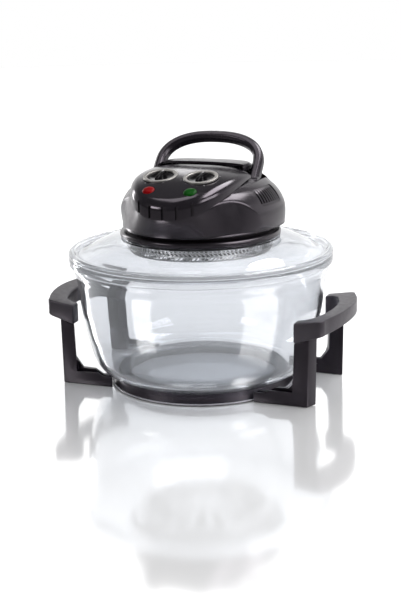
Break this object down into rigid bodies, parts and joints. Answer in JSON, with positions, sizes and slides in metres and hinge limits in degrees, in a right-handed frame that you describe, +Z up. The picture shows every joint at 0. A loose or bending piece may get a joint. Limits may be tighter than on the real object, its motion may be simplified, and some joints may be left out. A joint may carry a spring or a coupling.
{
  "type": "halogen oven",
  "caption": "Round glass halogen oven: glass bowl in a legged stand, lift-off glass lid with a domed heater head, control dials, signal lamps and folding carry handle.",
  "frame": {"origin": "on the surface that the oven stands on, under the bowl's axis", "axes": "+Z up, -Y towards the control dials at the front, +X to the right seen from the front"},
  "size_m": [0.4, 0.337, 0.3176],
  "materials": {
    "black_plastic": "black moulded plastic, satin gloss",
    "housing_plastic": "charcoal moulded plastic with a soft sheen",
    "grip_plastic": "dark grey moulded plastic, fine satin",
    "rubber": "black rubber",
    "bowl_glass": "clear pressed tempered glass",
    "tube_glass": "clear quartz tube",
    "bright_steel": "bright pressed steel",
    "dark_steel": "plain steel",
    "bezel_chrome": "satin chrome ring",
    "knob_plastic": "high gloss black plastic",
    "red_lens": "translucent red plastic",
    "green_lens": "translucent green plastic",
    "ceramic": "white steatite"
  },
  "bodies": {
    "stand": {"base_ring": "black_plastic", "leg_front_left": "black_plastic", "leg_front_right": "black_plastic", "leg_rear_left": "black_plastic", "leg_rear_right": "black_plastic", "grip_left": "grip_plastic", "grip_right": "grip_plastic", "pad_front_left": "rubber", "pad_front_right": "rubber", "pad_rear_left": "rubber", "pad_rear_right": "rubber"},
    "bowl": {"glass_bowl": "bowl_glass"},
    "lid": {"glass_lid": "bowl_glass", "clamp_ring": "black_plastic", "heat_shield": "bright_steel", "fan_guard": "bright_steel", "halogen_tube": "tube_glass", "tube_holder_left": "ceramic", "tube_holder_right": "ceramic", "base_pan": "black_plastic", "rear_shell": "housing_plastic", "control_visor": "housing_plastic", "vent_left": "black_plastic", "vent_right": "black_plastic", "timer_bezel": "bezel_chrome", "temperature_bezel": "bezel_chrome", "lens_red": "red_lens", "lens_green": "green_lens", "lamp_left": "ceramic", "lamp_right": "ceramic", "timer_movement": "dark_steel", "thermostat": "ceramic", "motor_bracket": "dark_steel", "motor": "dark_steel", "handle_yoke_left": "black_plastic", "handle_yoke_right": "black_plastic", "pivot_pin_left": "dark_steel", "pivot_pin_right": "dark_steel", "safety_switch": "black_plastic", "terminal_block": "ceramic", "cord_inlet": "rubber"},
    "handle": {"carry_handle": "black_plastic"},
    "plunger": {"switch_plunger": "red_lens"},
    "timer_dial": {"timer_knob": "knob_plastic", "timer_spindle": "dark_steel"},
    "temperature_dial": {"temperature_knob": "knob_plastic", "temperature_spindle": "dark_steel"},
    "rotor": {"motor_shaft": "dark_steel", "convection_fan": "bright_steel", "cooling_fan": "black_plastic"}
  },
  "joints": [
    {"name": "bowl_lift", "type": "slide", "parent": "stand", "child": "bowl", "axis": [0, 0, 1], "range_m": [0, 0.12]},
    {"name": "lid_lift", "type": "slide", "parent": "bowl", "child": "lid", "axis": [0, 0, 1], "range_m": [0, 0.19]},
    {"name": "handle_fold", "type": "hinge", "parent": "lid", "child": "handle", "pos_m": [0, 0.014, 0.256], "axis": [1, 0, 0], "range_deg": [-15, 40]},
    {"name": "switch_press", "type": "slide", "parent": "lid", "child": "plunger", "axis": [0, 0, -1], "range_m": [-0.0014, 0.0006]},
    {"name": "timer_turn", "type": "hinge", "parent": "lid", "child": "timer_dial", "pos_m": [-0.0264, -0.0637, 0.27506], "axis": [0, 0.2151, -0.9766], "range_deg": [0, 300]},
    {"name": "temperature_turn", "type": "hinge", "parent": "lid", "child": "temperature_dial", "pos_m": [0.0264, -0.0637, 0.27506], "axis": [0, 0.2151, -0.9766], "range_deg": [0, 280]},
    {"name": "fan_spin", "type": "hinge", "parent": "lid", "child": "rotor", "pos_m": [0, 0, 0.22], "axis": [0, 0, 1], "continuous": true}
  ],
  "couplings": [
    {"joint": "switch_press", "follows": "handle_fold", "m_per_rad": -0.0019}
  ]
}
